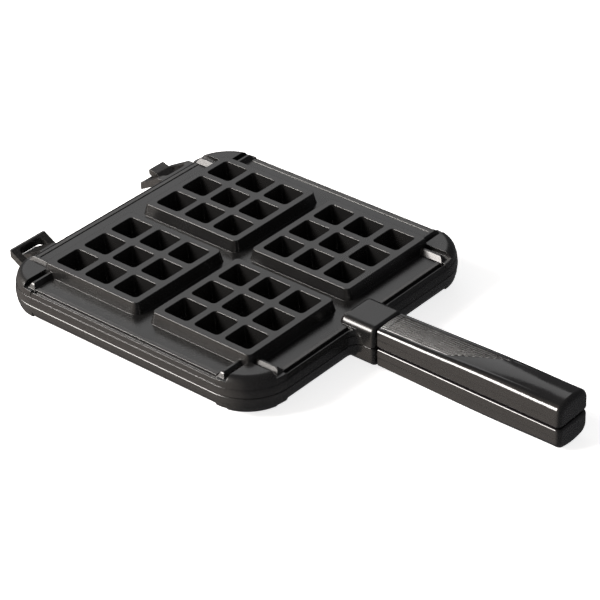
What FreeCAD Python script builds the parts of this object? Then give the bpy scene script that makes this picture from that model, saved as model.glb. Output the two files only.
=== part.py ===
import FreeCAD, Part

import math
import os
from types import SimpleNamespace

from FreeCAD import Placement, Rotation, Vector

# Stovetop waffle iron: two cast plates hinged at the back, a half-round grip on each.
# Frame: +X toward the grips, +Z up, z = 0 is the surface that the iron stands on.
# The two halves are alike: the lower one is the upper one turned half a turn about the long axis.
# Each piece is drawn in its half's own frame: pan centre at x = y = 0, mating face at z = 0, outside up.

# Driving sizes, millimetres and degrees
driving = {
    # Border
    "pan_half": 108.0,
    "pan_corner": 31.4,
    "seam_gap": 0.2,
    "seam_edge": 0.4,
    "seam_bevel": 45.0,
    "wall_height": 5.4,
    "wall_draft": 6.5,
    "band_step": 0.35,
    "band_draft": 20.0,
    "field_top": 9.3,
    "ledge_drop": 0.8,
    "groove_width": 1.9,
    "groove_depth": 1.1,
    "bead_line": 103.4,
    "bead_width": 3.1,
    "bead_rise": 0.5,
    "bead_round": 0.35,
    # Blocks and pockets
    "plate_height": 17.0,
    "block_pitch": 91.4,
    "block_half": 39.1,
    "block_corner": 3.0,
    "block_draft": 14.9,
    "block_edge": 0.4,
    "pocket_pitch": 24.5,
    "pocket_half": 9.76,
    "pocket_corner": 2.5,
    "pocket_depth": 12.3,
    "pocket_draft": 9.0,
    # Inside of a plate
    "cast_wall": 2.6,
    "peg_wall": 1.75,
    "peg_tip": 2.0,
    "inner_half": 101.5,
    "inner_drop": 1.0,
    "moat_width": 8.5,
    "moat_depth": 4.5,
    "cavity_corner": 5.0,
    # Corner domes and fins
    "dome_crown": 12.2,
    "dome_shoulder": 12.7,
    "dome_round": 6.0,
    "dome_draft": 8.0,
    "dome_side": 84.0,
    "fin_line": 78.6,
    "fin_end": 101.6,
    "fin_height": 12.6,
    "fin_width": 1.6,
    "fin_draft": 32.0,
    "fin_round": 2.4,
    # Neck and tang
    "neck_half": 15.1,
    "neck_top": 13.8,
    "neck_back": 94.9,
    "neck_end": 122.0,
    "neck_shoulder": 5.3,
    "neck_back_round": 3.8,
    "neck_end_round": 2.5,
    "neck_blend": 8.5,
    "neck_inset": 0.3,
    "tang_half": 6.5,
    "tang_low": 6.2,
    "tang_high": 10.6,
    "tang_end": 152.4,
    "tang_corner": 1.5,
    # Hinge
    "hinge_reach": 13.1,
    "hinge_side": 60.5,
    "hinge_slope": 29.0,
    "hinge_root": 2.5,
    "eye_width": 30.6,
    "eye_thick": 4.6,
    "eye_reach": 6.8,
    "eye_land": 1.9,
    "eye_nose": 0.8,
    "eye_landing_round": 2.1,
    "eye_landing": 8.6,
    "eye_corner": 2.0,
    "hole_reach": 3.6,
    "hole_width": 20.6,
    "hole_corner": 3.5,
    "hook_width": 12.8,
    "hook_inner": 0.65,
    "hook_outer": 4.8,
    "hook_reach": 5.7,
    "hook_landing": 7.9,
    "hook_bend": 1.4,
    "hook_drop": 6.7,
    "hook_nose": 1.2,
    "hook_bend_round": 4.0,
    # Grip
    "grip_gap": 1.1,
    "grip_play": 1.1,
    "grip_length": 134.6,
    "grip_half": 14.3,
    "grip_crown": 16.2,
    "grip_bottom_round": 1.6,
    "grip_end_round": 3.2,
    "rib_pitch": 1.92,
    "rib_groove": 0.95,
    "rib_depth": 0.55,
    "rib_start": 3.5,
    "rib_end": 68.9,
    "rib_lean": 1.92,
    "rib_ramp": 2.5,
    "side_rib_line": 9.6,
    "side_rib_end": 22.0,
    "socket_play": 0.3,
    "socket_top_play": 0.5,
    # Fastener
    "screw_place": 145.0,
    "screw_radius": 2.0,
    "thread_play": 0.03,
    "screw_tip": 0.2,
    "screw_tip_round": 0.4,
    "shank_play": 0.3,
    "head_radius": 3.8,
    "head_height": 2.2,
    "head_round": 0.9,
    "head_recess": 0.25,
    "drive_width": 0.9,
    "drive_length": 4.2,
    "drive_depth": 1.2,
    "bore_play": 0.4,
    "washer_radius": 3.7,
    "washer_bore": 2.15,
    "washer_height": 0.9,
    "washer_split": 0.6,
    # One overrun for every cut and root
    "overrun": 1.5,
}

# Copies of a repeated form: pockets along a block's side, ribs across a grip
pockets_in_row = 3
rib_count = 9

# Grip sections: share of the length, then shares of half width (side, crown edge) and of crown height
# (side edge, crown edge, crown)
grip_section_shares = (
    (0.0, 0.881, 0.664, 0.716, 0.809, 0.846),
    (0.2, 0.907, 0.645, 0.730, 0.845, 0.880),
    (0.4, 0.934, 0.625, 0.742, 0.888, 0.926),
    (0.6, 0.960, 0.604, 0.728, 0.934, 0.978),
    (0.8, 0.981, 0.596, 0.670, 0.943, 0.998),
    (1.0, 1.0, 0.594, 0.605, 0.944, 1.0),
)
# How far a grip's shoulder swells past its chord
shoulder_swell_share = 0.17
# Rounded end of a grip: turn of each section in degrees, and what share of the step inward each place of it takes
end_turns = (0.0, 25.0, 50.0, 72.0, 90.0)
end_share = SimpleNamespace(flat=0.55, side=1.0, side_z=0.43, edge=0.48, edge_z=0.92, crown=1.0)
# How near an edge lies to a place for a rounding to find it
edge_match = 0.05

doc = FreeCAD.newDocument("waffle_iron")
sheet = doc.addObject("Spreadsheet::Sheet", "sizes")
for row, (name, number) in enumerate(driving.items(), start=1):
    sheet.set("A%d" % row, name.replace("_", " "))
    sheet.set("B%d" % row, str(number))
    sheet.setAlias("B%d" % row, name)
doc.recompute()
size = SimpleNamespace(**{name: float(getattr(sheet, name)) for name in driving})

# Places worked out from the driving sizes
block_slope = math.tan(math.radians(size.block_draft))
pocket_slope = math.tan(math.radians(size.pocket_draft))
hinge_slope = math.tan(math.radians(size.hinge_slope))
hinge_level = math.cos(math.radians(size.hinge_slope))
corner_centre = size.pan_half - size.pan_corner
band_half = (size.pan_half - size.band_step
             - (size.wall_height - size.seam_edge) * math.tan(math.radians(size.wall_draft)))
neck_stop = size.neck_half + size.overrun
cavity_half = (size.block_half + size.plate_height * block_slope
               - size.cast_wall / math.cos(math.radians(size.block_draft)))
peg_half = (size.pocket_half - size.cast_wall * pocket_slope
            + size.peg_wall / math.cos(math.radians(size.pocket_draft)))
hinge_x = -size.pan_half - size.hinge_reach
hinge_z = -size.seam_gap / 2
grip_start = size.neck_end + size.grip_play
grip_full = size.grip_length - size.grip_end_round
grip_flat = (size.grip_gap - size.seam_gap) / 2
bore_floor = grip_flat + size.head_recess + size.head_height + size.washer_height
rear = hinge_x - size.eye_reach
pan_x = -(grip_start + size.grip_length + rear) / 2
seam_z = size.plate_height + size.seam_gap / 2

signs = (1, -1)
block_centres = [Vector(a * size.block_pitch / 2, b * size.block_pitch / 2, 0) for a in signs for b in signs]
steps = [number - (pockets_in_row - 1) / 2 for number in range(pockets_in_row)]
pocket_centres = [centre + Vector(i * size.pocket_pitch, j * size.pocket_pitch, 0)
                  for centre in block_centres for i in steps for j in steps]


# Sketching

def origin_part(body, role):
    return [feature for feature in body.Origin.OriginFeatures if feature.Role == role][0]


def sketch_on(body, name, role="XY_Plane", height=None):
    sketch = body.newObject("Sketcher::SketchObject", name)
    sketch.AttachmentSupport = [(origin_part(body, role), "")]
    sketch.MapMode = "FlatFace"
    if height:
        sketch.setExpression("AttachmentOffset.Base.z", height)
    return sketch


def outline(sketch, corners):
    """Close a path through corners (x, y, radius), each rounded by its radius."""
    ends = []
    for number, (x, y, radius) in enumerate(corners):
        corner = Vector(x, y, 0)
        before = Vector(*corners[number - 1][:2], 0) - corner
        after = Vector(*corners[(number + 1) % len(corners)][:2], 0) - corner
        before.normalize()
        after.normalize()
        if radius == 0:
            ends.append((corner, corner))
            continue
        half_angle = before.getAngle(after) / 2
        reach = radius / math.tan(half_angle)
        middle = before + after
        middle.normalize()
        centre = corner + middle * (radius / math.sin(half_angle))
        first = corner + before * reach
        last = corner + after * reach
        sketch.addGeometry(Part.Arc(first, centre - middle * radius, last), False)
        ends.append((first, last))
    for number, (first, last) in enumerate(ends):
        following = ends[(number + 1) % len(ends)][0]
        sketch.addGeometry(Part.LineSegment(last, following), False)


def rounded_box(sketch, low_x, low_y, high_x, high_y, radius=0):
    outline(sketch, [(low_x, low_y, radius), (high_x, low_y, radius), (high_x, high_y, radius),
                     (low_x, high_y, radius)])


def rounded_square(sketch, half, radius, centre=Vector()):
    rounded_box(sketch, centre.x - half, centre.y - half, centre.x + half, centre.y + half, radius)


def round_corner(sketch, x, y, into_x, into_y, radius):
    """Outline what a rounding takes off a corner; into_x and into_y point into the material."""
    inset = radius * (1 - math.sqrt(0.5))
    first = Vector(x, y + into_y * radius, 0)
    last = Vector(x + into_x * radius, y, 0)
    sketch.addGeometry(Part.Arc(first, Vector(x + into_x * inset, y + into_y * inset, 0), last), False)
    off_x = x - into_x * size.overrun
    off_y = y - into_y * size.overrun
    path = [last, Vector(last.x, off_y, 0), Vector(off_x, off_y, 0), Vector(off_x, first.y, 0), first]
    for start, stop in zip(path, path[1:]):
        sketch.addGeometry(Part.LineSegment(start, stop), False)


# Features

def extrude(kind, body, name, sketch, length, draft=None, reverse=False):
    feature = body.newObject("PartDesign::" + kind, name)
    feature.Profile = sketch
    feature.setExpression("Length", length)
    if draft:
        feature.setExpression("TaperAngle", draft)
    feature.Reversed = reverse
    return feature


def dress(kind, body, name, amount, wanted):
    """Fillet or chamfer the edges of the body's last feature that a test picks."""
    doc.recompute()
    base = body.Tip
    names = ["Edge%d" % number for number, edge in enumerate(base.Shape.Edges, start=1) if wanted(edge)]
    feature = body.newObject("PartDesign::" + kind, name)
    feature.Base = (base, names)
    feature.setExpression("Radius" if kind == "Fillet" else "Size", amount)
    return feature


def level(edge, height):
    box = edge.BoundBox
    return max(abs(box.ZMin - height), abs(box.ZMax - height)) < edge_match


# Plate, outside

def pan_and_neck(sketch, half, corner, neck_half, neck_end, blend):
    outline(sketch, [(half, -half, corner), (half, -neck_half, blend), (neck_end, -neck_half, size.neck_end_round),
                     (neck_end, neck_half, size.neck_end_round), (half, neck_half, blend), (half, half, corner),
                     (-half, half, corner), (-half, -half, corner)])


def border_strips(sketch, inner, outer):
    """Four straight strips along the border; the one at the neck is in two lengths."""
    end = size.fin_line
    rounded_box(sketch, inner, neck_stop, outer, end)
    rounded_box(sketch, inner, -end, outer, -neck_stop)
    rounded_box(sketch, -outer, -end, -inner, end)
    rounded_box(sketch, -end, inner, end, outer)
    rounded_box(sketch, -end, -outer, end, -inner)


def add_neck(body):
    section = sketch_on(body, "neck_section", "YZ_Plane", "sizes.neck_back")
    outline(section, [(size.neck_half, 0, size.seam_edge), (size.neck_half, size.neck_top, size.neck_shoulder),
                      (-size.neck_half, size.neck_top, size.neck_shoulder), (-size.neck_half, 0, size.seam_edge)])
    extrude("Pad", body, "neck", section, "sizes.neck_end - sizes.neck_back")

    def round_end(name, amount, place):
        dress("Fillet", body, name, amount, lambda edge: edge.BoundBox.ZMax > size.seam_edge * 2
              and abs(edge.CenterOfMass.x - place) < edge_match)

    round_end("neck_end_rounding", "sizes.neck_end_round", size.neck_end)
    round_end("neck_back_rounding", "sizes.neck_back_round", size.neck_back)


def add_border(body):
    neck_half = size.neck_half - size.neck_inset
    sketch = sketch_on(body, "seam_outline")
    pan_and_neck(sketch, size.pan_half - size.seam_edge, size.pan_corner - size.seam_edge,
                 neck_half - size.seam_edge, size.neck_end - size.neck_inset - size.seam_edge,
                 size.neck_blend + size.seam_edge)
    extrude("Pad", body, "seam_bevel", sketch, "sizes.seam_edge", draft="sizes.seam_bevel")
    sketch = sketch_on(body, "wall_outline", height="sizes.seam_edge")
    pan_and_neck(sketch, size.pan_half, size.pan_corner, neck_half, size.neck_end - size.neck_inset,
                 size.neck_blend)
    extrude("Pad", body, "wall", sketch, "sizes.wall_height - sizes.seam_edge", draft="-sizes.wall_draft")

    sketch = sketch_on(body, "band_outline", height="sizes.wall_height")
    pan_and_neck(sketch, band_half, band_half - corner_centre, neck_half, size.neck_end - size.neck_end_round,
                 size.neck_blend - size.neck_end_round)
    extrude("Pad", body, "band", sketch, "sizes.field_top - sizes.wall_height", draft="-sizes.band_draft")

    sketch = sketch_on(body, "ledge_outline", height="sizes.field_top")
    border_strips(sketch, size.bead_line, size.pan_half + size.overrun)
    extrude("Pocket", body, "ledge", sketch, "sizes.ledge_drop")
    sketch = sketch_on(body, "groove_outline", height="sizes.field_top - sizes.ledge_drop")
    border_strips(sketch, size.bead_line, size.bead_line + size.groove_width)
    extrude("Pocket", body, "border_groove", sketch, "sizes.groove_depth")
    sketch = sketch_on(body, "bead_outline", height="sizes.field_top")
    border_strips(sketch, size.bead_line - size.bead_width, size.bead_line)
    extrude("Pad", body, "bead", sketch, "sizes.bead_rise")
    dress("Fillet", body, "bead_rounding", "sizes.bead_round",
          lambda edge: level(edge, size.field_top + size.bead_rise) and edge.Length > size.bead_width * 2)


def quarter_turn(kind, body, name, corners):
    """Turn a profile that follows the dome's side a quarter round the corner's centre."""
    sketch = sketch_on(body, name + "_profile", "XZ_Plane", "sizes.pan_corner - sizes.pan_half")
    sketch.setExpression("AttachmentOffset.Base.x", "sizes.pan_half - sizes.pan_corner")
    foot = band_half - corner_centre
    shoulder = foot - (size.dome_shoulder - size.wall_height) * math.tan(math.radians(size.dome_draft))
    outline(sketch, [(foot, size.wall_height, 0)] + corners + [(shoulder, size.dome_shoulder, size.dome_round)])
    feature = body.newObject("PartDesign::" + kind, name)
    feature.Profile = sketch
    feature.ReferenceAxis = (sketch, ["V_Axis"])
    feature.Angle = 90
    return feature


def add_corners(body):
    above = size.fin_height + size.overrun
    beyond = size.pan_corner + size.overrun
    round_off = quarter_turn("Groove", body, "corner_round_off", [
        (beyond, size.wall_height, 0), (beyond, above, 0), (0, above, 0), (0, size.dome_crown, 0)])
    dome = quarter_turn("Revolution", body, "dome", [(0, size.wall_height, 0), (0, size.dome_crown, 0)])
    low = corner_centre - size.overrun
    high = size.pan_half + size.overrun
    sketch = sketch_on(body, "dome_side_outline", height="sizes.field_top")
    outline(sketch, [(low, low, 0), (high, low, 0), (high, size.dome_side, 0),
                     (size.dome_side, size.dome_side, 0), (size.dome_side, high, 0), (low, high, 0)])
    sides = extrude("Pocket", body, "dome_sides", sketch, "sizes.plate_height", reverse=True)
    pattern = body.newObject("PartDesign::PolarPattern", "corner_pattern")
    pattern.Originals = [round_off, dome, sides]
    pattern.Axis = (origin_part(body, "Z_Axis"), [""])
    pattern.Angle = 360
    pattern.Occurrences = 4
    body.Tip = pattern


def add_fins(body):
    sketch = sketch_on(body, "fin_outline", height="sizes.fin_height")
    half = size.fin_width / 2
    for a in signs:
        for b in signs:
            across = sorted((a * (size.fin_line - half), a * (size.fin_line + half)))
            along = sorted((b * (size.dome_side - half), b * size.fin_end))
            rounded_box(sketch, across[0], along[0], across[1], along[1])
            rounded_box(sketch, along[0], across[0], along[1], across[1])
    extrude("Pad", body, "fins", sketch, "sizes.fin_height - sizes.field_top + sizes.overrun",
            draft="sizes.fin_draft", reverse=True)

    def on_tip(edge):
        middle = edge.BoundBox.Center
        outermost = max(abs(middle.x), abs(middle.y))
        return level(edge, size.fin_height) and abs(outermost - size.fin_end) < half / 2

    dress("Fillet", body, "fin_tip_rounding", "sizes.fin_round", on_tip)


def add_blocks(body):
    sketch = sketch_on(body, "block_outline", height="sizes.plate_height")
    for centre in block_centres:
        rounded_square(sketch, size.block_half, size.block_corner, centre)
    extrude("Pad", body, "blocks", sketch, "sizes.plate_height - sizes.field_top + sizes.overrun",
            draft="sizes.block_draft", reverse=True)


# Plate, inside

def hollow_out(body):
    sketch = sketch_on(body, "inner_outline")
    rounded_square(sketch, size.inner_half, size.inner_half - corner_centre)
    extrude("Pocket", body, "inner_recess", sketch, "sizes.inner_drop", reverse=True)

    sketch = sketch_on(body, "moat_outline")
    moat_inner = size.inner_half - size.moat_width
    rounded_square(sketch, size.inner_half, size.inner_half - corner_centre)
    rounded_square(sketch, moat_inner, moat_inner - corner_centre)
    extrude("Pocket", body, "moat", sketch, "sizes.moat_depth", reverse=True)

    sketch = sketch_on(body, "cavity_outline")
    for centre in block_centres:
        rounded_square(sketch, cavity_half, size.cavity_corner, centre)
    extrude("Pocket", body, "cavities", sketch, "sizes.plate_height - sizes.cast_wall",
            draft="-sizes.block_draft", reverse=True)

    sketch = sketch_on(body, "peg_outline", height="sizes.plate_height - sizes.cast_wall")
    for centre in pocket_centres:
        rounded_square(sketch, peg_half, size.pocket_corner + size.peg_wall, centre)
    extrude("Pad", body, "pegs", sketch, "sizes.pocket_depth + sizes.peg_tip - sizes.cast_wall",
            draft="-sizes.pocket_draft", reverse=True)

    sketch = sketch_on(body, "pocket_outline", height="sizes.plate_height")
    for centre in pocket_centres:
        rounded_square(sketch, size.pocket_half, size.pocket_corner, centre)
    extrude("Pocket", body, "pockets", sketch, "sizes.pocket_depth", draft="-sizes.pocket_draft")
    dress("Fillet", body, "block_edge_rounding", "sizes.block_edge",
          lambda edge: level(edge, size.plate_height))


# Hinge: an eye on one side, a hook on the other, both sloping down and outward past the mating face

def hinge_pad(body, name, side, corners):
    sketch = sketch_on(body, name + "_profile", "XZ_Plane",
                       "%d * sizes.hinge_side - sizes.%s_width / 2" % (-side, name))
    outline(sketch, [(hinge_x + x, hinge_z + z, radius) for x, z, radius in corners])
    extrude("Pad", body, name, sketch, "sizes.%s_width" % name)


def add_eye(body):
    rise = size.eye_thick / 2 / hinge_level
    root = size.hinge_reach + size.hinge_root
    crest = size.eye_reach - size.eye_land
    hinge_pad(body, "eye", 1, [
        (-size.eye_reach, -crest * hinge_slope - rise, size.eye_nose),
        (-crest, -crest * hinge_slope - rise, 0),
        (root, root * hinge_slope - rise, 0),
        (root, size.eye_landing, 0),
        ((size.eye_landing - rise) / hinge_slope, size.eye_landing, size.eye_landing_round),
        (-size.eye_reach, -size.eye_reach * hinge_slope + rise, size.eye_nose)])
    sketch = sketch_on(body, "eye_hole_outline", height="-sizes.plate_height")
    rounded_box(sketch, hinge_x - size.hole_reach, size.hinge_side - size.hole_width / 2,
                -size.pan_half, size.hinge_side + size.hole_width / 2, size.hole_corner)
    for side in signs:
        round_corner(sketch, rear, size.hinge_side + side * size.eye_width / 2, 1, -side, size.eye_corner)
    extrude("Pocket", body, "eye_hole", sketch, "2 * sizes.plate_height", reverse=True)


def add_hook(body):
    root = size.hinge_reach + size.hinge_root
    inner = size.hook_inner / hinge_level
    outer = size.hook_outer / hinge_level
    hinge_pad(body, "hook", -1, [
        (-size.hook_reach, inner - size.hook_reach * hinge_slope, size.hook_nose / 2),
        (-size.hook_reach, -size.hook_drop, size.hook_nose),
        (size.hook_bend, size.hook_bend * hinge_slope - outer, size.hook_bend_round),
        (root, root * hinge_slope - outer, 0),
        (root, size.hook_landing, 0),
        ((size.hook_landing - inner) / hinge_slope, size.hook_landing, size.hook_nose)])


# Tang in the grip, with its threaded hole

def add_tang(body):
    root = size.neck_back + size.neck_shoulder
    sketch = sketch_on(body, "tang_outline", height="sizes.tang_low")
    outline(sketch, [(root, -size.tang_half, 0), (size.tang_end, -size.tang_half, size.tang_corner),
                     (size.tang_end, size.tang_half, size.tang_corner), (root, size.tang_half, 0)])
    extrude("Pad", body, "tang", sketch, "sizes.tang_high - sizes.tang_low")
    sketch = sketch_on(body, "thread_outline", height="sizes.tang_high")
    circle = Part.Circle(Vector(size.screw_place, 0, 0), Vector(0, 0, 1), size.screw_radius + size.thread_play)
    sketch.addGeometry(circle, False)
    extrude("Pocket", body, "thread_hole", sketch, "sizes.tang_high - sizes.tang_low")


def build_plate(label):
    body = doc.addObject("PartDesign::Body", label)
    add_neck(body)
    add_border(body)
    add_corners(body)
    add_fins(body)
    add_blocks(body)
    add_tang(body)
    add_eye(body)
    add_hook(body)
    hollow_out(body)
    return body


# Grip

def grip_corners(shares, inset=0.0):
    place, side, crown_edge, side_height, edge_height, crown = shares
    return SimpleNamespace(
        x=grip_start + place * grip_full,
        flat=grip_flat + end_share.flat * inset,
        side=side * size.grip_half - end_share.side * inset,
        side_z=side_height * size.grip_crown - end_share.side_z * inset,
        edge=crown_edge * size.grip_half - end_share.edge * inset,
        edge_z=edge_height * size.grip_crown - end_share.edge_z * inset,
        crown_z=crown * size.grip_crown - end_share.crown * inset)


def grip_section(body, name, shares, turn=0.0):
    """Draw one section; past the full length it steps inward by the turn of the end's rounding."""
    at = grip_corners(shares, size.grip_end_round * (1 - math.cos(math.radians(turn))))
    sketch = sketch_on(body, name, "YZ_Plane",
                       "sizes.neck_end + sizes.grip_play + %r * (sizes.grip_length - sizes.grip_end_round)"
                       " + %r * sizes.grip_end_round" % (shares[0], math.sin(math.radians(turn))))
    below = size.grip_bottom_round
    bend = below * (1 - math.sqrt(0.5))
    for side in signs:
        foot = Vector(side * (at.side - below), at.flat, 0)
        heel = Vector(side * at.side, at.flat + below, 0)
        sketch.addGeometry(Part.Arc(foot, Vector(side * (at.side - bend), at.flat + bend, 0), heel), False)
        top = Vector(side * at.side, at.side_z, 0)
        sketch.addGeometry(Part.LineSegment(heel, top), False)
        edge = Vector(side * at.edge, at.edge_z, 0)
        chord = edge - top
        swell = Vector(side * chord.y, -side * chord.x, 0) * shoulder_swell_share
        sketch.addGeometry(Part.Arc(top, (top + edge) * 0.5 + swell, edge), False)
    sketch.addGeometry(Part.LineSegment(Vector(below - at.side, at.flat, 0),
                                        Vector(at.side - below, at.flat, 0)), False)
    sketch.addGeometry(Part.Arc(Vector(-at.edge, at.edge_z, 0), Vector(0, at.crown_z, 0),
                                Vector(at.edge, at.edge_z, 0)), False)
    return sketch


def loft_through(body, name, sections):
    loft = body.newObject("PartDesign::AdditiveLoft", name)
    loft.Profile = sections[0]
    loft.Sections = sections[1:]


def crown_height(shares, across):
    """Height of a section's crown arc at a place across it."""
    at = grip_corners(shares)
    sag = at.crown_z - at.edge_z
    bend = (at.edge ** 2 + sag ** 2) / (2 * sag)
    return at.crown_z - bend + math.sqrt(bend ** 2 - min(abs(across), at.edge) ** 2)


def crown_along(x, across):
    """Height of the crown between two sections."""
    share = (x - grip_start) / grip_full
    for first, last in zip(grip_section_shares, grip_section_shares[1:]):
        if share <= last[0]:
            between = (share - first[0]) / (last[0] - first[0])
            return crown_height(first, across) * (1 - between) + crown_height(last, across) * between
    return crown_height(grip_section_shares[-1], across)


def add_rib_groove(body, number, across, end):
    start = grip_start + size.rib_start
    sketch = sketch_on(body, "rib_groove_profile_%d" % number, "XZ_Plane")
    sketch.AttachmentOffset = Placement(Vector(0, 0, size.rib_groove / 2 - across), Rotation())
    section_places = [grip_corners(shares).x for shares in grip_section_shares]
    places = [start] + [x for x in section_places if start < x < end - size.rib_ramp] + [end - size.rib_ramp]
    floor = [(x, crown_along(x, across) - size.rib_depth, 0) for x in places]
    top = size.grip_crown + size.overrun
    outline(sketch, floor + [(end, crown_along(end, across), 0), (end, top, 0), (start, top, 0)])
    extrude("Pocket", body, "rib_groove_%d" % number, sketch, "sizes.rib_groove")


def build_grip(label):
    body = doc.addObject("PartDesign::Body", label)
    loft_through(body, "grip_moulding",
                 [grip_section(body, "grip_section_%d" % number, shares)
                  for number, shares in enumerate(grip_section_shares, start=1)])
    loft_through(body, "grip_end",
                 [grip_section(body, "end_section_%d" % number, grip_section_shares[-1], turn)
                  for number, turn in enumerate(end_turns, start=1)])

    sketch = sketch_on(body, "socket_outline", "YZ_Plane", "sizes.neck_end + sizes.grip_play")
    rounded_box(sketch, -size.tang_half - size.socket_play, size.tang_low, size.tang_half + size.socket_play,
                size.tang_high + size.socket_top_play)
    extrude("Pocket", body, "socket", sketch,
            "sizes.tang_end + sizes.socket_play - sizes.neck_end - sizes.grip_play", reverse=True)
    for name, radius, length in (
            ("counterbore", size.head_radius + size.bore_play,
             "sizes.head_recess + sizes.head_height + sizes.washer_height + (sizes.grip_gap - sizes.seam_gap) / 2"),
            ("screw_hole", size.screw_radius + size.shank_play, "sizes.tang_low")):
        sketch = sketch_on(body, name + "_outline")
        sketch.addGeometry(Part.Circle(Vector(size.screw_place, 0, 0), Vector(0, 0, 1), radius), False)
        extrude("Pocket", body, name, sketch, length, reverse=True)

    middle = (rib_count - 1) / 2
    for number in range(rib_count):
        across = (number - middle) * size.rib_pitch
        add_rib_groove(body, number + 1, across, grip_start + size.rib_end + across * size.rib_lean)
    add_rib_groove(body, rib_count + 1, -size.side_rib_line, grip_start + size.side_rib_end)
    return body


# Fastener

def build_screw(label):
    body = doc.addObject("PartDesign::Body", label)
    seat = bore_floor - size.washer_height
    tip = size.tang_high - size.screw_tip
    sketch = sketch_on(body, "screw_profile", "XZ_Plane")
    sketch.setExpression("AttachmentOffset.Base.x", "sizes.screw_place")
    outline(sketch, [(0, seat - size.head_height, 0), (size.head_radius, seat - size.head_height, size.head_round),
                     (size.head_radius, seat, 0), (size.screw_radius, seat, 0),
                     (size.screw_radius, tip, size.screw_tip_round), (0, tip, 0)])
    turned = body.newObject("PartDesign::Revolution", "screw_turned")
    turned.Profile = sketch
    turned.ReferenceAxis = (sketch, ["V_Axis"])
    turned.Angle = 360
    sketch = sketch_on(body, "drive_outline")
    sketch.AttachmentOffset = Placement(Vector(size.screw_place, 0, seat - size.head_height), Rotation())
    arm = size.drive_length / 2
    wall = size.drive_width / 2
    outline(sketch, [(arm, -wall, 0), (arm, wall, 0), (wall, wall, 0), (wall, arm, 0), (-wall, arm, 0),
                     (-wall, wall, 0), (-arm, wall, 0), (-arm, -wall, 0), (-wall, -wall, 0), (-wall, -arm, 0),
                     (wall, -arm, 0), (wall, -wall, 0)])
    extrude("Pocket", body, "drive_recess", sketch, "sizes.drive_depth", reverse=True)
    return body


def build_washer(label):
    body = doc.addObject("PartDesign::Body", label)
    seat = Placement(Vector(size.screw_place, 0, bore_floor - size.washer_height), Rotation())
    sketch = sketch_on(body, "washer_outline")
    sketch.AttachmentOffset = seat
    for radius in (size.washer_radius, size.washer_bore):
        sketch.addGeometry(Part.Circle(Vector(), Vector(0, 0, 1), radius), False)
    extrude("Pad", body, "washer_ring", sketch, "sizes.washer_height")
    sketch = sketch_on(body, "split_outline")
    sketch.AttachmentOffset = seat
    rounded_box(sketch, 0, -size.washer_split / 2, size.washer_radius + size.overrun, size.washer_split / 2)
    extrude("Pocket", body, "washer_cut", sketch, "sizes.washer_height", reverse=True)
    return body


# Both halves
builders = (("plate", build_plate), ("grip", build_grip), ("grip_screw", build_screw),
            ("lock_washer", build_washer))
bodies = []
for half, turn, above in (("upper", 0, 1), ("lower", 180, -1)):
    for piece, build in builders:
        body = build(half + "_" + piece)
        body.Placement = Placement(Vector(pan_x, 0, seam_z + above * size.seam_gap / 2),
                                   Rotation(Vector(1, 0, 0), turn))
        bodies.append(body)
doc.recompute()

# Checks and files
for item in doc.Objects:
    bad = [state for state in item.State if state in ("Invalid", "Error")]
    if bad:
        raise RuntimeError("%s is %s" % (item.Label, bad))
for body in bodies:
    if body.Shape.isNull() or not body.Shape.isValid():
        raise RuntimeError("%s has no valid shape" % body.Label)
os.makedirs("parts", exist_ok=True)
for body in bodies:
    body.Shape.exportStep(os.path.join("parts", body.Label + ".step"))
    print(body.Label, len(body.Shape.Solids), round(body.Shape.Volume))
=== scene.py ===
import math

import bpy
from mathutils import Matrix, Vector


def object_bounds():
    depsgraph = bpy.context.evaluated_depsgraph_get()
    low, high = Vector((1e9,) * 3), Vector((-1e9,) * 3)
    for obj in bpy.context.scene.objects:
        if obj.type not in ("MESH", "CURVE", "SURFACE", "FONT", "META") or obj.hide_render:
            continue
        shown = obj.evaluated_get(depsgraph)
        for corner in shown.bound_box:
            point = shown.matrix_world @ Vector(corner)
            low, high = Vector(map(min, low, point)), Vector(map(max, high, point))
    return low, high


# Stovetop waffle iron: looks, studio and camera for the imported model. Metres, the model's own frame.

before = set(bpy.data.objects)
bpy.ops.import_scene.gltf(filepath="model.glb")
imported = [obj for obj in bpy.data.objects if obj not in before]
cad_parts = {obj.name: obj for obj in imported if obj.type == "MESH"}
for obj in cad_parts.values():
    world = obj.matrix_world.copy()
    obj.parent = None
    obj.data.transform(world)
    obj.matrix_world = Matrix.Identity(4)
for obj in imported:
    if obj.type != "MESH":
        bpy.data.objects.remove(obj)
cad_low, cad_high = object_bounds()

mm = 0.001
half_height = (cad_low[2] + cad_high[2]) / 2

# Camera, solved from the corners of the pockets in the photograph
camera_turn = math.radians(41.163)
camera_rise = math.radians(32.828)
camera_roll = math.radians(-1.720)
camera_distance = 1.5306
camera_target = Vector((0.00416, -0.01997, 0.0342))
lens_over_width = 4.20364
sensor_width = 36.0
near_clip = 0.05

# Ribbed field of the grips, where the solids have it, and how far each rib is rounded over
rib_pitch = 1.92 * mm
rib_lean = 1.92
rib_field_end = 127.1 * mm
rib_end_fade = 2.5 * mm
rib_field_half = 8.6 * mm
rib_side_fade = 0.7 * mm
rib_lowest = 6.0 * mm
rib_full = 7.0 * mm
rib_rounding = 0.6 * mm

# Parting line along the sides of the grips, measured from the seam between the halves
parting_height = 6.5 * mm
parting_half = 0.12 * mm
parting_fade = 0.40 * mm
parting_ridge = 0.12 * mm

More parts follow.
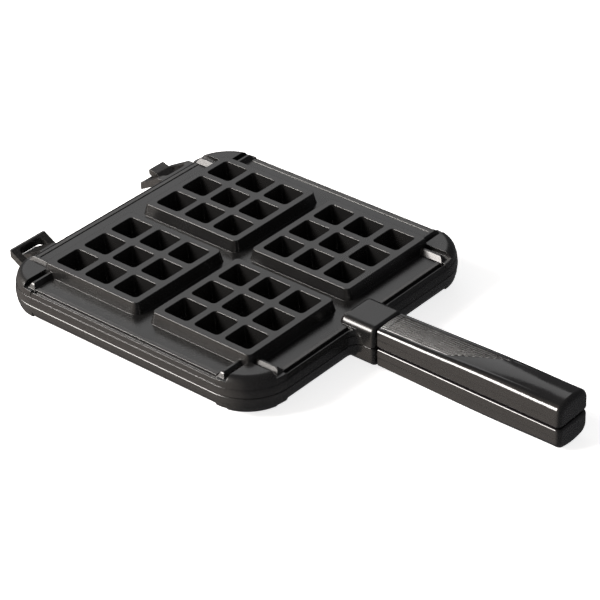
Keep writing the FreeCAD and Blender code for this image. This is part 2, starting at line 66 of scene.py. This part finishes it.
# Colours of the materials
coating_deep = (0.0060, 0.0060, 0.0062, 1)
coating_thin = (0.0095, 0.0093, 0.0091, 1)
# Lighter coating colour painted on sharp edges as a highlight
coating_edge_highlight = (0.040, 0.038, 0.036, 1)
phenolic_deep = (0.0060, 0.0060, 0.0062, 1)
phenolic_thin = (0.0095, 0.0092, 0.0090, 1)
zinc_dull = (0.52, 0.53, 0.54, 1)
zinc_bright = (0.66, 0.66, 0.64, 1)
floor_shade = (0.86, 0.86, 0.86, 1)
floor_light = (0.90, 0.90, 0.90, 1)

# Surface of the castings
grain_size = 0.45 * mm
grain_height = 0.004 * mm
grain_roughness = (-0.02, 0.03)
pebble_size = 1.6 * mm
pebble_height = 0.005 * mm
sweep_size = 22 * mm
sweep_roughness = (0.22, 0.27)
casting_edge_radius = 0.45 * mm
# Pointiness range over which the painted edge highlight fades in
edge_highlight_from = 0.54
edge_highlight_full = 0.64

# Surface of the grips
flow_size = 9 * mm
flow_height = 0.02 * mm
flow_roughness = (0.09, 0.15)
speck_size = 0.3 * mm
speck_roughness = (0.0, 0.03)
rib_roughness = 0.14

# Surface of the screws and washers
cloud_size = 1.2 * mm
cloud_roughness = (0.24, 0.38)
zinc_grain_size = 0.12 * mm
zinc_grain_height = 0.004 * mm

# Studio
floor_reach = 12.0
floor_patch = 1 / 3
floor_glow = 0.8
sky_dim = (0.10, 0.10, 0.105, 1)
sky_warm = (0.90, 0.80, 0.72, 1)
sky_warm_side = (-0.6, -0.8, 0.0)
sky_warm_from = 0.25

# Most of a noise texture's values lie between these two
noise_low = 0.3
noise_high = 0.7


# Node trees

class Tree:
    """Short hand for building a node tree."""

    def __init__(self, data):
        data.use_nodes = True
        self.tree = data.node_tree
        self.tree.nodes.clear()

    def add(self, kind, **values):
        node = self.tree.nodes.new(kind)
        for name, value in values.items():
            setattr(node, name, value)
        return node

    def link(self, source, target):
        self.tree.links.new(source, target)

    def noise(self, place, size, detail=2.0, roughness=0.5):
        """Noise with forms of about the given size."""
        node = self.add("ShaderNodeTexNoise")
        node.inputs["Scale"].default_value = 1 / size
        node.inputs["Detail"].default_value = detail
        node.inputs["Roughness"].default_value = roughness
        self.link(place, node.inputs["Vector"])
        return node.outputs["Fac"]

    def spread(self, value, low, high, to_low, to_high):
        """Maps low..high to to_low..to_high and stops at both ends."""
        node = self.add("ShaderNodeMapRange")
        settings = {"From Min": low, "From Max": high, "To Min": to_low, "To Max": to_high}
        for name, number in settings.items():
            node.inputs[name].default_value = number
        self.link(value, node.inputs["Value"])
        return node.outputs["Result"]

    def spread_noise(self, value, ends):
        return self.spread(value, noise_low, noise_high, *ends)

    def math(self, operation, *values):
        node = self.add("ShaderNodeMath", operation=operation)
        for socket, value in zip(node.inputs, values):
            if isinstance(value, (int, float)):
                socket.default_value = value
            else:
                self.link(value, socket)
        return node.outputs["Value"]

    def product(self, first, *others):
        for value in others:
            first = self.math("MULTIPLY", first, value)
        return first

    def blend(self, factor, first, second):
        node = self.add("ShaderNodeMix", data_type="RGBA")
        self.link(factor, node.inputs["Factor"])
        for name, colour in (("A", first), ("B", second)):
            socket = [item for item in node.inputs if item.name == name and item.type == "RGBA"][0]
            if isinstance(colour, tuple):
                socket.default_value = colour
            else:
                self.link(colour, socket)
        return [item for item in node.outputs if item.type == "RGBA"][0]

    def bump(self, height, distance, normal=None):
        node = self.add("ShaderNodeBump")
        node.inputs["Distance"].default_value = distance
        self.link(height, node.inputs["Height"])
        if normal:
            self.link(normal, node.inputs["Normal"])
        return node.outputs["Normal"]

    def rounded_edges(self, radius, samples):
        node = self.add("ShaderNodeBevel", samples=samples)
        node.inputs["Radius"].default_value = radius
        return node.outputs["Normal"]


def start_material(name):
    material = bpy.data.materials.new(name)
    tree = Tree(material)
    place = tree.add("ShaderNodeTexCoord").outputs["Object"]
    shader = tree.add("ShaderNodeBsdfPrincipled")
    output = tree.add("ShaderNodeOutputMaterial")
    tree.link(shader.outputs["BSDF"], output.inputs["Surface"])
    return material, tree, place, shader


# Materials

def coated_casting():
    """Satin black coating over cast aluminium: fine grain, soft unevenness, and a painted highlight that
    lightens the sharp edges.
    """
    material, tree, place, shader = start_material("satin_black_coating")
    grain = tree.noise(place, grain_size, detail=3.0, roughness=0.6)
    pebble = tree.noise(place, pebble_size)
    sweep = tree.noise(place, sweep_size, detail=3.0)

    # Painted highlight: the coating is lightened on sharp edges, in patches, as if they caught the light
    pointed = tree.add("ShaderNodeNewGeometry").outputs["Pointiness"]
    edge = tree.spread(pointed, edge_highlight_from, edge_highlight_full, 0.0, 1.0)
    painted_edge_highlight = tree.product(edge, tree.spread(pebble, 0.35, 0.65, 0.1, 0.8))
    coating = tree.blend(sweep, coating_deep, coating_thin)
    tree.link(tree.blend(painted_edge_highlight, coating, coating_edge_highlight), shader.inputs["Base Color"])

    slow = tree.spread_noise(sweep, sweep_roughness)
    fine = tree.spread_noise(grain, grain_roughness)
    tree.link(tree.math("ADD", slow, fine), shader.inputs["Roughness"])
    shader.inputs["Specular IOR Level"].default_value = 0.6

    normal = tree.rounded_edges(casting_edge_radius, samples=6)
    normal = tree.bump(pebble, pebble_height, normal)
    normal = tree.bump(grain, grain_height, normal)
    tree.link(normal, shader.inputs["Normal"])
    return material


def ribbed_field(tree, x, y, z, side):
    """The ribbed field, 1 inside and 0 outside, and the height that rounds each rib over."""
    wave = tree.math("COSINE", tree.math("MULTIPLY", y, 2 * math.pi / rib_pitch))
    crest = tree.spread(wave, -1.0, 1.0, 1.0, 0.0)

    along = tree.math("SUBTRACT", x, tree.math("MULTIPLY", y, side * rib_lean))
    before_end = tree.spread(along, rib_field_end - rib_end_fade, rib_field_end, 1.0, 0.0)
    across = tree.math("ABSOLUTE", y)
    between_sides = tree.spread(across, rib_field_half, rib_field_half + rib_side_fade, 1.0, 0.0)
    height = tree.math("ABSOLUTE", tree.math("SUBTRACT", z, half_height))
    on_outer_face = tree.spread(height, rib_lowest, rib_full, 0.0, 1.0)
    field = tree.product(before_end, between_sides, on_outer_face)
    return field, tree.product(crest, field)


def phenolic(name, side):
    """Glossy black moulding with faint flow and a parting line. Side is 1 above the seam, -1 below."""
    material, tree, place, shader = start_material(name)
    flow = tree.noise(place, flow_size, detail=4.0)
    waves = tree.noise(place, flow_size, detail=0.0)
    specks = tree.noise(place, speck_size)
    axes = tree.add("ShaderNodeSeparateXYZ")
    tree.link(place, axes.inputs["Vector"])
    x, y, z = (axes.outputs[axis] for axis in "XYZ")
    field, ribs = ribbed_field(tree, x, y, z, side)

    tree.link(tree.blend(flow, phenolic_deep, phenolic_thin), shader.inputs["Base Color"])
    slow = tree.spread_noise(flow, flow_roughness)
    fine = tree.spread_noise(specks, speck_roughness)
    duller_ribs = tree.math("MULTIPLY", field, rib_roughness)
    rough = tree.math("ADD", tree.math("ADD", slow, fine), duller_ribs)
    tree.link(rough, shader.inputs["Roughness"])
    shader.inputs["Specular IOR Level"].default_value = 0.6
    shader.inputs["Coat Weight"].default_value = 0.2
    shader.inputs["Coat Roughness"].default_value = 0.1

    off_line = tree.math("SUBTRACT", z, half_height + side * parting_height)
    line = tree.spread(tree.math("ABSOLUTE", off_line), parting_half, parting_fade, 1.0, 0.0)
    normal = tree.bump(waves, flow_height)
    normal = tree.bump(line, parting_ridge, normal)
    normal = tree.bump(ribs, rib_rounding, normal)
    tree.link(normal, shader.inputs["Normal"])
    return material


def zinc_steel():
    """Bright zinc plate, a little cloudy, with a fine grain."""
    material, tree, place, shader = start_material("zinc_plated_steel")
    cloud = tree.noise(place, cloud_size, detail=3.0)
    grain = tree.noise(place, zinc_grain_size, detail=1.0)
    shader.inputs["Metallic"].default_value = 1.0
    tree.link(tree.blend(cloud, zinc_dull, zinc_bright), shader.inputs["Base Color"])
    tree.link(tree.spread_noise(cloud, cloud_roughness), shader.inputs["Roughness"])
    tree.link(tree.bump(grain, zinc_grain_height), shader.inputs["Normal"])
    return material


def dress_nodes():
    casting = coated_casting()
    fastener = zinc_steel()
    finishes = {
        "upper_plate": casting,
        "lower_plate": casting,
        "upper_grip": phenolic("upper_phenolic", 1),
        "lower_grip": phenolic("lower_phenolic", -1),
    }
    for name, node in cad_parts.items():
        material = finishes.get(name, fastener)
        node.data.materials.clear()
        node.data.materials.append(material)


# Studio

def floor():
    """Pale floor lit to white. It isn't mirrored in the part, whose surround is dark in the photograph."""
    reach = floor_reach
    corners = [(-reach, -reach, 0), (reach, -reach, 0), (reach, reach, 0), (-reach, reach, 0)]
    mesh = bpy.data.meshes.new("floor")
    mesh.from_pydata(corners, [], [(0, 1, 2, 3)])
    piece = bpy.data.objects.new("floor", mesh)
    bpy.context.scene.collection.objects.link(piece)

    material, tree, place, shader = start_material("pale_floor")
    mottle = tree.noise(place, floor_patch)
    tree.link(tree.blend(mottle, floor_shade, floor_light), shader.inputs["Base Color"])
    shader.inputs["Roughness"].default_value = 0.9
    shader.inputs["Emission Color"].default_value = (1, 1, 1, 1)
    shader.inputs["Emission Strength"].default_value = floor_glow
    mesh.materials.append(material)
    piece.visible_glossy = False


def sky():
    """Soft warm glow on the left of the picture, nearly dark on its right."""
    world = bpy.data.worlds.new("studio")
    bpy.context.scene.world = world
    tree = Tree(world)
    place = tree.add("ShaderNodeTexCoord").outputs["Generated"]
    toward = tree.add("ShaderNodeVectorMath", operation="DOT_PRODUCT")
    tree.link(place, toward.inputs[0])
    toward.inputs[1].default_value = sky_warm_side
    warm = tree.spread(toward.outputs["Value"], sky_warm_from, 1.0, 0.0, 1.0)
    light = tree.add("ShaderNodeBackground")
    tree.link(tree.blend(warm, sky_dim, sky_warm), light.inputs["Color"])
    output = tree.add("ShaderNodeOutputWorld")
    tree.link(light.outputs["Background"], output.inputs["Surface"])


def panel(name, place, width, height, power, colour=(1.0, 1.0, 1.0)):
    """Soft lamp that faces the middle of the part's base."""
    light = bpy.data.lights.new(name, "AREA")
    light.shape = "RECTANGLE"
    light.size = width
    light.size_y = height
    light.energy = power
    light.color = colour
    lamp = bpy.data.objects.new(name, light)
    lamp.location = place
    lamp.rotation_euler = (-Vector(place)).to_track_quat("-Z", "Y").to_euler()
    bpy.context.scene.collection.objects.link(lamp)


def camera():
    right = Vector((math.cos(camera_turn), math.sin(camera_turn), 0))
    back = Vector((math.sin(camera_turn) * math.cos(camera_rise),
                   -math.cos(camera_turn) * math.cos(camera_rise),
                   math.sin(camera_rise)))
    up = back.cross(right)
    rolled_right = right * math.cos(camera_roll) + up * math.sin(camera_roll)
    rolled_up = up * math.cos(camera_roll) - right * math.sin(camera_roll)
    turn = Matrix((rolled_right, rolled_up, back)).transposed()

    data = bpy.data.cameras.new("camera")
    data.sensor_width = sensor_width
    data.lens = lens_over_width * sensor_width
    data.clip_start = near_clip
    view = bpy.data.objects.new("camera", data)
    view.matrix_world = Matrix.Translation(camera_target + back * camera_distance) @ turn.to_4x4()
    bpy.context.scene.collection.objects.link(view)
    bpy.context.scene.camera = view


dress_nodes()
floor()
sky()
panel("left", place=(-1.1, -1.1, 1.0), width=1.3, height=0.7, power=75, colour=(1.0, 0.96, 0.92))
panel("back", place=(-1.25, 1.0, 1.1), width=1.4, height=1.0, power=3.8)
camera()
bpy.context.scene.view_settings.view_transform = "Standard"
